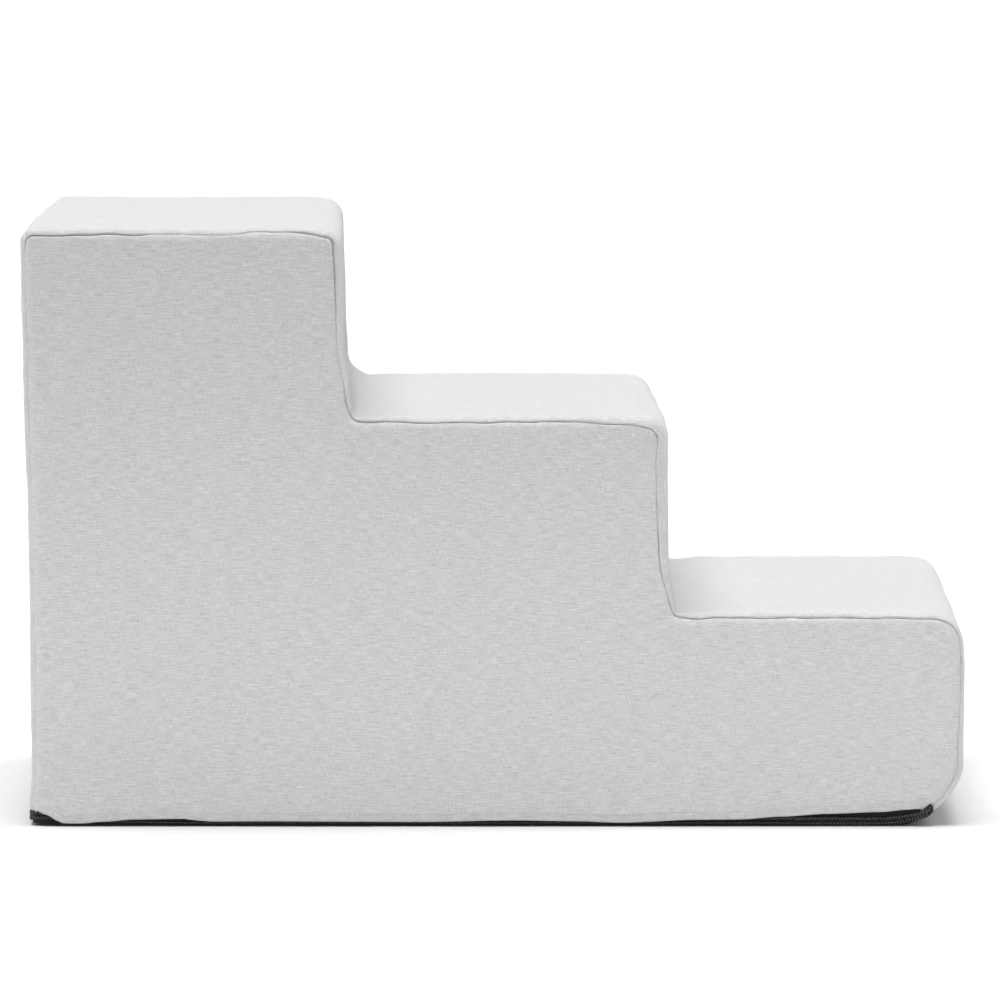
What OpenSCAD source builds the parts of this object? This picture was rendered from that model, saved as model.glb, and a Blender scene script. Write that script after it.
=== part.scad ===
// Soft three-step pet stairs: a glued foam core inside a sewn, zipped fabric cover.
// Millimetres. +Z up, +X towards the bottom step, origin on the floor at the footprint's centre.

/* [Steps] */
// Length from the back face to the face of the bottom riser
length = 610; // [540:1:740]
// Width of the steps
width = 400; // [320:1:500]
// Height of the bottom step
rise_low = 136; // [105:1:170]
// Height of the middle step
rise_mid = 128; // [100:1:160]
// Height of the top step
rise_top = 121; // [95:1:150]
// Depth of the bottom tread
tread_low = 195; // [160:1:240]
// Depth of the middle tread
tread_mid = 213; // [165:1:250]
// Radius of the bottom nosing
nosing_low_r = 18; // [8:1:30]
// Radius of the middle and top nosings
nosing_r = 12; // [6:1:20]

/* [Cover] */
// Thickness of the cover fabric
cover_t = 1.1; // [0.8:0.1:1.6]
// Height of the doubled hem above the zip
hem_h = 10; // [8:1:14]
// Thickness of the base panel with its grip dots
base_t = 1.5; // [1:0.1:3]

/* [Zip] */
// Width of the closed coil over both rows
chain_w = 6.6; // [5.6:0.1:8]
// Thickness of the coil rows
chain_t = 2.2; // [1.8:0.1:2.6]
// Gap between the two rows' solids, where their loops mesh
mesh_gap = 1.4; // [1.4:0.1:2]
// Thickness of the woven tapes
tape_t = 0.6; // [0.4:0.1:0.8]
// Radius of the zip's bend at the back corners
bend_r = 10; // [8:1:20]
// Distance from the low end to the sewn end of the coil
zip_end = 13; // [8:1:25]
// Length of the bar tack that closes each end of the zip
tack_l = 2; // [1:0.5:4]

/* [Slider and pull tab] */
// Length of the slider's body
slider_l = 12; // [10:0.5:14]
// Thickness of the slider's two plates
plate_t = 1; // [0.8:0.1:1.4]
// Thickness of the slider's flanges
flange_t = 0.9; // [0.7:0.1:1.2]
// Thickness of the post that parts the coil rows
post_t = 0.8; // [0.6:0.1:0.8]
// Length of the post that parts the coil rows
post_l = 3; // [2:0.5:4]
// Distance between the slider and the bar tack where it is parked
park_gap = 1; // [0.5:0.5:3]
// Length of the bridge that holds the pull tab
bridge_l = 10; // [9:0.5:10]
// Width of the bridge
bridge_w = 2.6; // [2:0.1:3]
// Thickness of the bridge
bridge_t = 1; // [0.8:0.1:1.2]
// Length of the pull tab from its crossbar to its tip
pull_l = 26; // [20:1:34]
// Width of the pull tab
pull_w = 7; // [6.4:0.1:9]
// Thickness of the pull tab and diameter of its crossbar
pull_t = 1.2; // [1:0.1:1.4]
// Running clearance round everything that slides or turns
run_gap = 0.3; // [0.25:0.05:0.4]

/* [Hidden] */
$fn = 64;

// The stepped outline
back_x = -length / 2;
front_x = length / 2;
mid_x = front_x - tread_low;
top_x = mid_x - tread_mid;
low_z = rise_low;
mid_z = rise_low + rise_mid;
top_z = rise_low + rise_mid + rise_top;
side_y = width / 2;

// Layers, measured inwards from the cover's outer face
hem_t = 2 * cover_t;
tape_in = hem_t + tape_t;
slider_in = tape_in + run_gap + plate_t;
core_relief = slider_in + run_gap;

// Heights of the zip's parts
slider_w = chain_w + 2 * run_gap + 2 * flange_t;
chain_z = base_t + run_gap + slider_w / 2;
hem_z = chain_z + slider_w / 2 + run_gap;
hem_top_z = hem_z + hem_h;

// Zip lengthways
coil_end_x = front_x - zip_end;
slider_x = coil_end_x - park_gap - slider_l / 2;
slider_round = 2;

// Slider and pull tab, measured across the width
tape_face_y = side_y - hem_t;
plate_y = tape_face_y + chain_t + run_gap;
bridge_room = pull_t + 2 * run_gap;
pivot_y = plate_y + plate_t + bridge_room / 2;
eye_end = bridge_l / 2 + bridge_room / 2 + bridge_t + run_gap;
eye_w = bridge_w + 2 * run_gap + 0.8;
pull_round = 2;

// Square from one corner to the other
module span2(x0, y0, x1, y1) {
  translate([x0, y0]) square([x1 - x0, y1 - y0]);
}

// Side view of one slab, from x0 to x1 and z0 to z1, with a round nosing
module nosed_slab(x0, z0, x1, z1, r) {
  span2(x0, z0, x1 - r, z1);
  span2(x0, z0, x1, z1 - r);
  translate([x1 - r, z1 - r]) circle(r);
}

// Side view of the whole stair, with the nosings and faces set in by d
module stair_profile(d) {
  nosed_slab(back_x + d, 0, front_x - d, low_z - d, nosing_low_r - d);
  nosed_slab(back_x + d, 0, mid_x - d, mid_z - d, nosing_r - d);
  nosed_slab(back_x + d, 0, top_x - d, top_z - d, nosing_r - d);
}

// Stands a side view up and gives it a width from y0 to y1
module across(y0, y1) {
  translate([0, y1, 0]) rotate([90, 0, 0]) linear_extrude(y1 - y0) children();
}

// Plan outline of the zip's loop, set in by d and cut off square at x_end
module zip_plan(d, x_end) {
  r = bend_r - d;
  span2(back_x + bend_r, d - side_y, x_end, side_y - d);
  span2(back_x + d, bend_r - side_y, back_x + bend_r, side_y - bend_r);
  for (s = [-1, 1]) translate([back_x + bend_r, s * (side_y - bend_r)]) circle(r);
}

// Band of the zip's loop between two depths and two heights
module zip_band(d0, d1, z0, z1, x_end) {
  translate([0, 0, z0]) linear_extrude(z1 - z0) difference() {
    zip_plan(d0, x_end);
    zip_plan(d1, x_end + 1);
  }
}

// One foam slab between two heights, as deep as the stair profile there
module foam_slab(z0, z1) {
  across(cover_t - side_y, side_y - cover_t) intersection() {
    stair_profile(cover_t);
    span2(back_x, z0, front_x, z1);
  }
}

module foam_bottom_slab() {
  color([0.93, 0.90, 0.80]) difference() {
    foam_slab(base_t, low_z - cover_t);
    difference() {
      translate([back_x, -side_y, 0]) cube([length - cover_t, width, hem_top_z]);
      translate([0, 0, -1]) linear_extrude(hem_top_z + 2) zip_plan(core_relief, front_x);
    }
  }
}

module foam_middle_slab() {
  color([0.93, 0.90, 0.80]) foam_slab(low_z - cover_t, mid_z - cover_t);
}

module foam_top_slab() {
  color([0.93, 0.90, 0.80]) foam_slab(mid_z - cover_t, top_z - cover_t);
}

// Side panel with its doubled hem; y0 is its outer face and s points inwards
module side_panel(s) {
  y0 = -s * side_y;
  y1 = y0 + s * cover_t;
  y2 = y0 + s * hem_t;
  color([0.80, 0.80, 0.81]) {
    across(min(y0, y1), max(y0, y1)) difference() {
      stair_profile(0);
      span2(back_x - 1, -1, front_x + 1, hem_z);
    }
    across(min(y1, y2), max(y1, y2))
      span2(back_x + cover_t, hem_z, front_x - cover_t, hem_top_z);
  }
}

module near_side_panel() { side_panel(1); }

module far_side_panel() { side_panel(-1); }

module step_strip() {
  color([0.90, 0.90, 0.91]) across(cover_t - side_y, side_y - cover_t) difference() {
    stair_profile(0);
    stair_profile(cover_t);
    span2(back_x - 1, -1, back_x + cover_t, top_z - cover_t);
  }
}

module back_panel() {
  color([0.80, 0.80, 0.81]) {
    across(cover_t - side_y, side_y - cover_t)
      span2(back_x, hem_z, back_x + cover_t, top_z - cover_t);
    across(hem_t - side_y, side_y - hem_t)
      span2(back_x + cover_t, hem_z, back_x + hem_t, hem_top_z);
  }
}

module base_panel() {
  color([0.10, 0.10, 0.11]) linear_extrude(base_t) zip_plan(tape_in, front_x - cover_t);
}

module zip_upper_tape() {
  color([0.07, 0.07, 0.08])
    zip_band(hem_t, tape_in, chain_z + mesh_gap / 2, hem_top_z, front_x - cover_t);
}

module zip_lower_tape() {
  color([0.07, 0.07, 0.08])
    zip_band(hem_t, tape_in, 0, chain_z - mesh_gap / 2, front_x - cover_t);
}

module zip_upper_coil() {
  color([0.04, 0.04, 0.05])
    zip_band(hem_t - chain_t, hem_t, chain_z + mesh_gap / 2, chain_z + chain_w / 2, coil_end_x);
}

module zip_lower_coil() {
  color([0.04, 0.04, 0.05])
    zip_band(hem_t - chain_t, hem_t, chain_z - chain_w / 2, chain_z - mesh_gap / 2, coil_end_x);
}

// A block of thread across both tapes at each end of the zip
module zip_end_tacks() {
  color([0.06, 0.06, 0.07]) for (s = [-1, 1])
    translate([coil_end_x, s * (side_y - hem_t) - (s < 0 ? cover_t : 0), chain_z - chain_w / 2])
      cube([tack_l, cover_t, chain_w]);
}

// Plate of the slider, rounded at its corners, in the plane of the cover's side
module slider_plate(y0, t) {
  hx = slider_l / 2 - slider_round;
  hz = slider_w / 2 - slider_round;
  translate([slider_x, y0 + t, chain_z]) rotate([90, 0, 0]) linear_extrude(t) {
    square([2 * hx, slider_w], center = true);
    square([slider_l, 2 * hz], center = true);
    for (u = [-hx, hx], v = [-hz, hz]) translate([u, v]) circle(slider_round);
  }
}

module slider_body() {
  inner_y = side_y - slider_in;
  foot_y = plate_y + plate_t;
  color([0.25, 0.25, 0.27]) union() {
    slider_plate(inner_y, plate_t);
    slider_plate(plate_y, plate_t);
    for (s = [-1, 1])
      translate([
        slider_x - slider_l / 2 + slider_round,
        tape_face_y + run_gap,
        chain_z + s * (slider_w - flange_t) / 2 - flange_t / 2
      ])
        cube([slider_l - 2 * slider_round, plate_y - tape_face_y, flange_t]);
    translate([slider_x + slider_l / 2 - slider_round - post_l / 2, inner_y + plate_t / 2,
        chain_z - post_t / 2])
      cube([post_l, plate_y - inner_y, post_t]);
    translate([slider_x, foot_y - plate_t / 2, chain_z - bridge_w / 2])
      linear_extrude(bridge_w) bridge_side(plate_t / 2 + bridge_room);
  }
}

// Side view of the bridge: an arch of this inside height
module bridge_side(room) {
  difference() {
    span2(-bridge_l / 2, 0, bridge_l / 2, room + bridge_t);
    span2(bridge_t - bridge_l / 2, -1, bridge_l / 2 - bridge_t, room);
  }
}

// Flat view of the pull tab: a plate with an eye, pointing away from its crossbar
module pull_outline() {
  hz = pull_w / 2;
  difference() {
    union() {
      span2(pull_round - pull_l, -hz, 0, hz);
      span2(-pull_l, pull_round - hz, 0, hz - pull_round);
      for (v = [-1, 1])
        translate([pull_round - pull_l, v * (hz - pull_round)]) circle(pull_round);
    }
    span2(-eye_end, -eye_w / 2, 1, eye_w / 2);
  }
}

module pull_tab() {
  color([0.25, 0.25, 0.27]) translate([slider_x, pivot_y, chain_z]) {
    translate([0, pull_t / 2, 0]) rotate([90, 0, 0]) linear_extrude(pull_t) pull_outline();
    translate([0, 0, -pull_w / 2]) cylinder(h = pull_w, d = pull_t);
  }
}

foam_bottom_slab();
foam_middle_slab();
foam_top_slab();
near_side_panel();
far_side_panel();
step_strip();
back_panel();
base_panel();
zip_upper_tape();
zip_lower_tape();
zip_upper_coil();
zip_lower_coil();
zip_end_tacks();
slider_body();
pull_tab();
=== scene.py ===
"""Soft three-step pet stairs: foam core, sewn linen-look cover, base panel and the zip that closes them.

Metres, in the CAD frame: +X towards the bottom step, +Z up, the near side panel at -Y.
"""
import math

import bpy
import numpy as np
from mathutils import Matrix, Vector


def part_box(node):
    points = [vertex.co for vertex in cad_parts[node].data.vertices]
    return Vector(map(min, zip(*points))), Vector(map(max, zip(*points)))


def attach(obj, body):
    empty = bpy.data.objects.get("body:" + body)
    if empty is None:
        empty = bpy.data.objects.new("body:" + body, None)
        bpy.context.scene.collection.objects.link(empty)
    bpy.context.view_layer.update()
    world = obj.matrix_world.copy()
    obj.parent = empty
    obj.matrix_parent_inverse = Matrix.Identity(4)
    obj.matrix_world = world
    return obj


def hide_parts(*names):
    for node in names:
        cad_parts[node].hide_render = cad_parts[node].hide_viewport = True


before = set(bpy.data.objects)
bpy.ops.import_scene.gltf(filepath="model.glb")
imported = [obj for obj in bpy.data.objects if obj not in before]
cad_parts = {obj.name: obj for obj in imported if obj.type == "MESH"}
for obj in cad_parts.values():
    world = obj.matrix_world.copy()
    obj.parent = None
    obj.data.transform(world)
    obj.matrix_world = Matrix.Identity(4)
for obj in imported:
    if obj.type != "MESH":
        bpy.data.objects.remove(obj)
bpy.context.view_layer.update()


# ---- Camera ----------------------------------------------------------------------------------------
# A long lens, square on to the near side panel and looking down on the treads by five degrees.
camera = bpy.data.objects.new("camera", bpy.data.cameras.new("camera"))
bpy.context.scene.collection.objects.link(camera)
camera.location = (0.0018, -5.890, 0.7105)
look_down = math.radians(4.995)
camera.rotation_euler = (math.pi / 2 - look_down, 0, 0)
camera.data.lens = 316.9
camera.data.sensor_width = 36
camera.data.clip_end = 200
bpy.context.scene.camera = camera


# ---- Floor and studio light -------------------------------------------------------------------------
# A wide pale studio floor. Soft light comes from overhead, from beyond both ends of the stairs and from
# a low box in front of the near side. The surround looks white but lights the piece only a little.
def put_mesh(name, points, faces, smooth=True, uv=None):
    """Mesh object from an array of points and an array of quads or triangles, with uv given per point."""
    mesh = bpy.data.meshes.new(name)
    mesh.vertices.add(len(points))
    mesh.vertices.foreach_set("co", np.asarray(points, float).ravel())
    faces = [np.asarray(f, int) for f in (faces if isinstance(faces, list) else [faces]) if len(f)]
    corners = np.concatenate([f.ravel() for f in faces])
    sizes = np.concatenate([np.full(len(f), f.shape[1]) for f in faces])
    mesh.loops.add(len(corners))
    mesh.loops.foreach_set("vertex_index", corners)
    mesh.polygons.add(len(sizes))
    mesh.polygons.foreach_set("loop_start", np.cumsum(sizes) - sizes)
    mesh.polygons.foreach_set("use_smooth", np.full(len(sizes), smooth))
    mesh.update(calc_edges=True)
    if uv is not None:
        layer = mesh.uv_layers.new(name="UVMap")
        layer.data.foreach_set("uv", np.asarray(uv, float)[corners].ravel())
    mesh.validate()
    obj = bpy.data.objects.new(name, mesh)
    bpy.context.scene.collection.objects.link(obj)
    return obj


def new_material(name, roughness, **constants):
    """Material whose Principled shader has these constant values; returns it and its node tree."""
    material = bpy.data.materials.new(name)
    material.use_nodes = True
    shader = material.node_tree.nodes["Principled BSDF"]
    shader.inputs["Roughness"].default_value = roughness
    for socket, value in constants.items():
        shader.inputs[socket.replace("_", " ")].default_value = value
    return material, material.node_tree


floor_half = 60.0
floor_corners = floor_half * np.array([(-1, -1, 0), (1, -1, 0), (1, 1, 0), (-1, 1, 0)])
floor = put_mesh("floor", floor_corners, np.arange(4)[None])
floor_paint, tree = new_material("studio_floor", 0.9, Base_Color=(0.74, 0.74, 0.74, 1),
                                 Specular_IOR_Level=0.1)
floor.data.materials.append(floor_paint)


def soft_sun(name, strength, spread, tilt, turn):
    """Sun lamp with a wide disc: tilt is its angle from overhead, turn its bearing from +X."""
    lamp = bpy.data.objects.new(name, bpy.data.lights.new(name, "SUN"))
    lamp.data.energy = strength
    lamp.data.angle = math.radians(spread)
    lamp.rotation_euler = (0, math.radians(tilt), math.radians(turn))
    bpy.context.scene.collection.objects.link(lamp)


def soft_box(name, strength, width, height, place):
    """Wide low light box that faces the near side and is itself out of the picture."""
    lamp = bpy.data.objects.new(name, bpy.data.lights.new(name, "AREA"))
    lamp.data.energy = strength
    lamp.data.shape = "RECTANGLE"
    lamp.data.size, lamp.data.size_y = width, height
    lamp.location = place
    lamp.rotation_euler = (math.pi / 2, 0, 0)
    lamp.visible_camera = False
    bpy.context.scene.collection.objects.link(lamp)


soft_sun("overhead_light", 3.9, 46, 3, 180)
soft_sun("high_end_light", 0.76, 60, 58, 178)
soft_sun("low_end_light", 0.94, 60, 52, 20)
soft_box("low_front_light", 2.1, 2.6, 0.08, (0, -0.62, 0.04))
surround = bpy.data.worlds.new("surround")
surround.use_nodes = True
sky = surround.node_tree
white = sky.nodes["Background"]
white.inputs["Color"].default_value = (1, 1, 1, 1)
seen = sky.nodes.new("ShaderNodeLightPath")
level = sky.nodes.new("ShaderNodeMapRange")
light_given, brightness_seen = 0.08, 1.05
level.inputs["To Min"].default_value = light_given
level.inputs["To Max"].default_value = brightness_seen
sky.links.new(seen.outputs["Is Camera Ray"], level.inputs["Value"])
sky.links.new(level.outputs["Result"], white.inputs["Strength"])
bpy.context.scene.world = surround
bpy.context.scene.view_settings.view_transform = "Standard"


# ---- Foam core --------------------------------------------------------------------------------------
# Three slabs of pale open-cell polyurethane foam, glued on each other. The tight cover rounds their
# edges and crowns their treads, and the bottom slab is pressed in behind the zip.
mm = 0.001
back_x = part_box("back_panel")[0].x
front_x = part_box("step_strip")[1].x
side_y = -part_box("near_side_panel")[0].y
cover_t = side_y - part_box("foam_top_slab")[1].y
foam_gap = 1.5 * cover_t
base_top, low_glue = (corner.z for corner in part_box("foam_bottom_slab"))
mid_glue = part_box("foam_middle_slab")[1].z
low_z, mid_z = low_glue + cover_t, mid_glue + cover_t
top_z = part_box("foam_top_slab")[1].z + cover_t
mid_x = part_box("foam_middle_slab")[1].x + cover_t
top_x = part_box("foam_top_slab")[1].x + cover_t
edge_r = 9 * mm


def ease(at, *stops):
    """Value at each point from (place, value) stops in order, with a smoothstep between neighbours."""
    places, values = np.array(stops, float).T
    k = np.clip(np.searchsorted(places, at, side="right") - 1, 0, len(places) - 2)
    t = np.clip((at - places[k]) / (places[k + 1] - places[k]), 0, 1)
    return values[k] + (values[k + 1] - values[k]) * t * t * (3 - 2 * t)


def patch(numbers):
    """Quads between the neighbouring rows and columns of a grid of point numbers."""
    near, far = numbers[:-1], numbers[1:]
    return np.stack([near[:, :-1], near[:, 1:], far[:, 1:], far[:, :-1]], -1).reshape(-1, 4)


def grid_faces(rows, cols):
    """Quads of a whole grid whose points run along the columns first."""
    return patch(np.arange(rows * cols).reshape(rows, cols))


def tube_faces(rows, cols):
    """The same where each row is a closed ring."""
    rings = np.arange(rows * cols).reshape(rows, cols)
    return patch(np.hstack([rings, rings[:, :1]]))


other_way = [0, 3, 2, 1]  # the corners of a quad that faces the other way


def fit(piece, material):
    """Joins a piece to the stairs and gives it its finish; returns the piece."""
    piece.data.materials.append(material)
    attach(piece, "stairs")
    return piece


def foam_slab(name, node, x0, x1, z0, z1, toe_r, toe_power, nose_r, crown_from):
    """A rounded side-view loop carried across the width; it shrinks by a quarter circle at both ends.

    The loop is four superellipse corners joined by straight runs, and the exposed tread is crowned from
    crown_from to x1. The bottom slab's sides and back are pressed in low down."""
    small, crown = 3 * mm, 1.6 * mm
    side_press, back_press = 3.3 * mm, 3.6 * mm
    turn = np.linspace(0, math.pi / 2, 13)
    arcs = []
    for corner_x, corner_z, r, power, dx, dz in (
            (x1, z0, toe_r, toe_power, 1, -1), (x1, z1, nose_r, 2, 1, 1),
            (x0, z1, small, 2, -1, 1), (x0, z0, small, 2, -1, -1)):
        a, b = np.sin(turn) ** (2 / power), np.cos(turn) ** (2 / power)
        if dx * dz > 0:
            a, b = b, a
        arcs.append(np.stack([corner_x - dx * r + dx * r * a, corner_z - dz * r + dz * r * b], 1))
    share = np.linspace(0, 1, 14)[1:-1, None]
    loop = np.concatenate([np.concatenate([arc, arc[-1] + (following[0] - arc[-1]) * share])
                           for arc, following in zip(arcs, arcs[1:] + arcs[:1])])
    half = side_y - foam_gap
    inset = edge_r * (1 - np.sin(np.linspace(0, math.pi / 2, 9)))
    flat = np.linspace(-half + edge_r, half - edge_r, 40)[1:-1]
    y = np.concatenate([-half + inset[::-1], flat, half - inset])
    shrink = np.clip((np.abs(y) - (half - edge_r)) / edge_r, 0, 1)
    shrink = edge_r * (1 - np.sqrt(1 - shrink ** 2))
    centre = np.array([(x0 + x1) / 2, (z0 + z1) / 2])
    scale = 1 - 2 * shrink[:, None, None] / np.array([x1 - x0, z1 - z0])
    x, z = np.moveaxis(centre + (loop - centre) * scale, -1, 0)
    y = np.repeat(y[:, None], x.shape[1], 1)
    swell = ease(x, (crown_from, 0), (crown_from + 14 * mm, crown), (x1 - 30 * mm, crown), (x1, 0))
    z = z + swell * (z > (z0 + z1) / 2) * np.clip((z - z0) / (z1 - z0), 0, 1)
    if node == "foam_bottom_slab":
        press = ease(z, (21 * mm, 1), (36 * mm, 0))
        y = np.clip(y, -half + side_press * press, half - side_press * press)
        x = np.maximum(x, x0 + back_press * press)
    rows, cols = x.shape
    points = np.stack([x, y, z], -1).reshape(-1, 3)
    cap_middles = [points[:cols].mean(0), points[-cols:].mean(0)]
    ring = np.arange(cols)
    after = (ring + 1) % cols
    last = (rows - 1) * cols
    near_cap = np.stack([np.full(cols, rows * cols), ring, after], 1)
    far_cap = np.stack([np.full(cols, rows * cols + 1), last + after, last + ring], 1)
    slab = put_mesh(name, np.concatenate([points, cap_middles]),
                    [tube_faces(rows, cols)[:, other_way], near_cap, far_cap])
    fit(slab, foam_material)
    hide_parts(node)


def add(tree, kind, links=(), **settings):
    """New node; links are (socket, source or value) pairs for its inputs, settings its own properties."""
    node = tree.nodes.new(kind)
    for key, value in settings.items():
        setattr(node, key, value)
    for socket, source in links:
        if isinstance(source, bpy.types.NodeSocket):
            tree.links.new(source, node.inputs[socket])
        else:
            node.inputs[socket].default_value = source
    return node


def maths(tree, operation, a, b=0.0, clamp=False):
    """Output of a Math node on two values or sockets."""
    return add(tree, "ShaderNodeMath", ((0, a), (1, b)), operation=operation, use_clamp=clamp).outputs[0]


def ramp(tree, factor, *stops):
    """Colour of a ramp through (place, (r, g, b)) stops."""
    node = add(tree, "ShaderNodeValToRGB", (("Fac", factor),))
    elements = node.color_ramp.elements
    while len(elements) < len(stops):
        elements.new(0.5)
    for element, (place, colour) in zip(elements, stops):
        element.position = place
        element.color = (*colour, 1)
    return node.outputs["Color"]


def speckle(tree, scale, detail):
    """Noise that follows the piece's own place."""
    place = add(tree, "ShaderNodeTexCoord").outputs["Object"]
    node = add(tree, "ShaderNodeTexNoise", (("Vector", place), ("Scale", scale), ("Detail", detail)))
    return node.outputs["Fac"]


def finish_material(tree, colour, height, depth, strength=1.0):
    """Joins a colour to the Principled shader, and a height to its normal through a bump depth deep."""
    shader = tree.nodes["Principled BSDF"]
    tree.links.new(colour, shader.inputs["Base Color"])
    bump = add(tree, "ShaderNodeBump", (("Height", height), ("Distance", depth), ("Strength", strength)))
    tree.links.new(bump.outputs["Normal"], shader.inputs["Normal"])


foam_material, tree = new_material("open_cell_foam", 0.95, Specular_IOR_Level=0.1)
place = add(tree, "ShaderNodeTexCoord").outputs["Object"]
cells = add(tree, "ShaderNodeTexVoronoi", (("Vector", place), ("Scale", 1400.0)))
shade = maths(tree, "ADD", maths(tree, "MULTIPLY", cells.outputs["Distance"], 0.35), speckle(tree, 18.0, 3.0))
finish_material(tree, ramp(tree, shade, (0.35, (0.74, 0.68, 0.50)), (0.95, (0.90, 0.86, 0.72))),
                cells.outputs["Distance"], 0.0004)

foam_slab("foam_core_bottom", "foam_bottom_slab", back_x + foam_gap + 2 * mm, front_x - foam_gap - 1 * mm,
          base_top + 0.2 * mm, low_glue, 42 * mm, 1.6, 22 * mm, mid_x)
foam_slab("foam_core_middle", "foam_middle_slab", back_x + foam_gap + 1 * mm, mid_x - foam_gap - 1 * mm,
          low_glue, mid_glue, 3 * mm, 2, 15 * mm, top_x)
foam_slab("foam_core_top", "foam_top_slab", back_x + foam_gap, top_x - foam_gap - 7 * mm,
          mid_glue, top_z - cover_t, 3 * mm, 2, 14 * mm, back_x)


# ---- Cover fabric -----------------------------------------------------------------------------------
# Light grey linen-look polyester: a plain weave of mixed light and dark yarns with slubs, which shows
# as fine broken lines both ways. Its pattern follows each panel's own flat cut.
weave = bpy.data.node_groups.new("linen_weave", "ShaderNodeTree")
for way, label, kind in (
        ("INPUT", "Cut", "Vector"), ("INPUT", "Yarn Pitch", "Float"), ("INPUT", "Slub", "Float"),
        ("OUTPUT", "Tone", "Float"), ("OUTPUT", "Tint", "Float"), ("OUTPUT", "Relief", "Float")):
    weave.interface.new_socket(label, in_out=way, socket_type="NodeSocket" + kind)
given = add(weave, "NodeGroupInput").outputs
split = add(weave, "ShaderNodeSeparateXYZ", (("Vector", given["Cut"]),)).outputs
wander = add(weave, "ShaderNodeTexNoise", (("Vector", given["Cut"]), ("Scale", 60.0), ("Detail", 1.0)))
drift = maths(weave, "MULTIPLY", maths(weave, "SUBTRACT", wander.outputs["Fac"], 0.5), 0.0004)
across = maths(weave, "DIVIDE", maths(weave, "ADD", split["X"], drift), given["Yarn Pitch"])
along = maths(weave, "DIVIDE", maths(weave, "SUBTRACT", split["Y"], drift), given["Yarn Pitch"])


def scaled(value, factor):
    """A value of the weave times a factor."""
    return maths(weave, "MULTIPLY", value, factor)


def yarn_noise(u_scale, v_scale, shift):
    """Noise over the cut, in yarns times the two scales, shifted so that no two uses repeat each other."""
    u = across if u_scale == 1 else scaled(across, u_scale)
    v = scaled(along, v_scale)
    vector = add(weave, "ShaderNodeCombineXYZ", (("X", u), ("Y", v), ("Z", shift)))
    node = add(weave, "ShaderNodeTexNoise", (("Vector", vector.outputs[0]), ("Scale", 1.0), ("Detail", 1.0),
                                             ("Roughness", 0.6)))
    return node.outputs["Fac"]


def over_under(weft_value, warp_value):
    """Runs from the weft's value to the warp's as the warp comes over the weft."""
    node = add(weave, "ShaderNodeMix", (("Factor", over), ("A", weft_value), ("B", warp_value)),
               data_type="FLOAT")
    return node.outputs[0]


warp = yarn_noise(1, 0.11, 3.0)
weft = yarn_noise(0.10, 1.3, 17.0)
warp_slub = yarn_noise(1.1, 0.08, 31.0)
weft_slub = yarn_noise(0.044, 0.8, 47.0)
wave_u = maths(weave, "SINE", scaled(across, math.pi))
wave_v = maths(weave, "SINE", scaled(along, math.pi))
over = maths(weave, "ADD", scaled(maths(weave, "MULTIPLY", wave_u, wave_v), 1.6), 0.38, clamp=True)
tone = over_under(weft, warp)
slubs = maths(weave, "SUBTRACT", maths(weave, "ADD", scaled(warp_slub, 0.4), weft_slub), 0.7)
tone = maths(weave, "ADD", tone, maths(weave, "MULTIPLY", slubs, given["Slub"]))
relief = over_under(maths(weave, "ABSOLUTE", wave_v), maths(weave, "ABSOLUTE", wave_u))
relief = maths(weave, "ADD", relief, scaled(slubs, 0.5))
tint = yarn_noise(0.3, 0.3, 71.0)
add(weave, "NodeGroupOutput", (("Tone", tone), ("Tint", tint), ("Relief", relief)))


def weave_in(tree, pitch, slub):
    """The weave group on a piece's own UV map, which holds the place on its flat cut in metres."""
    cut = add(tree, "ShaderNodeUVMap", uv_map="UVMap").outputs["UV"]
    node = add(tree, "ShaderNodeGroup", node_tree=weave)
    for socket, value in (("Yarn Pitch", pitch), ("Slub", slub)):
        node.inputs[socket].default_value = value
    tree.links.new(cut, node.inputs["Cut"])
    return node.outputs


cover_material, tree = new_material("linen_look_cover", 0.92, Specular_IOR_Level=0.2, Sheen_Weight=0.15,
                                    Sheen_Roughness=0.5)
yarns = weave_in(tree, 0.0005, 0.7)
greys = ramp(tree, yarns["Tone"], (0.20, (0.425, 0.417, 0.431)), (0.45, (0.570, 0.563, 0.576)),
             (0.60, (0.630, 0.623, 0.636)), (0.85, (0.772, 0.765, 0.778)))
casts = ramp(tree, yarns["Tint"], (0.35, (1.0, 0.975, 0.985)), (0.65, (0.98, 1.0, 0.985)))
mix_colour_a, mix_colour_b, mix_colour_out = 6, 7, 2  # a Mix node's colour sockets
cover_colour = add(tree, "ShaderNodeMix", (("Factor", 1.0), (mix_colour_a, greys), (mix_colour_b, casts)),
                   data_type="RGBA", blend_type="MULTIPLY")
cover_shade = cover_colour.outputs[mix_colour_out]
finish_material(tree, cover_shade, yarns["Relief"], 0.00016, 0.6)


# ---- Step strip -------------------------------------------------------------------------------------
# One length of cover fabric over the bottom riser, the treads and the risers, sewn face to face to both
# side panels, to the base panel under the low end and to the back panel along the top.
toe_start = 11 * mm
near_slant = 8 * mm
corner_xz = np.array([(0, 0), (front_x, 0), (front_x, low_z), (mid_x, low_z), (mid_x, mid_z), (top_x, mid_z),
                      (top_x, top_z), (back_x, top_z), (back_x, 0)])
corner_step = np.diff(corner_xz, axis=0)
corner_dir = corner_step / np.hypot(*corner_step.T)[:, None]
at_corner = np.concatenate([[0], np.cumsum(np.hypot(*corner_step.T))])
at_toe, at_nose_low, at_nook_low, at_nose_mid, at_nook_mid, at_nose_top, at_crest, at_heel = at_corner[1:]
near_rounds = ((40, 1.6), (21, 2), (4, 2), (11, 2), (5, 2), (8, 2), (5, 2))
far_rounds = ((14, 2.0), (13, 2), (6, 2), (15, 2), (10, 2), (10, 2), (8, 2))
hem_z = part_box("near_side_panel")[0].z


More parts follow.
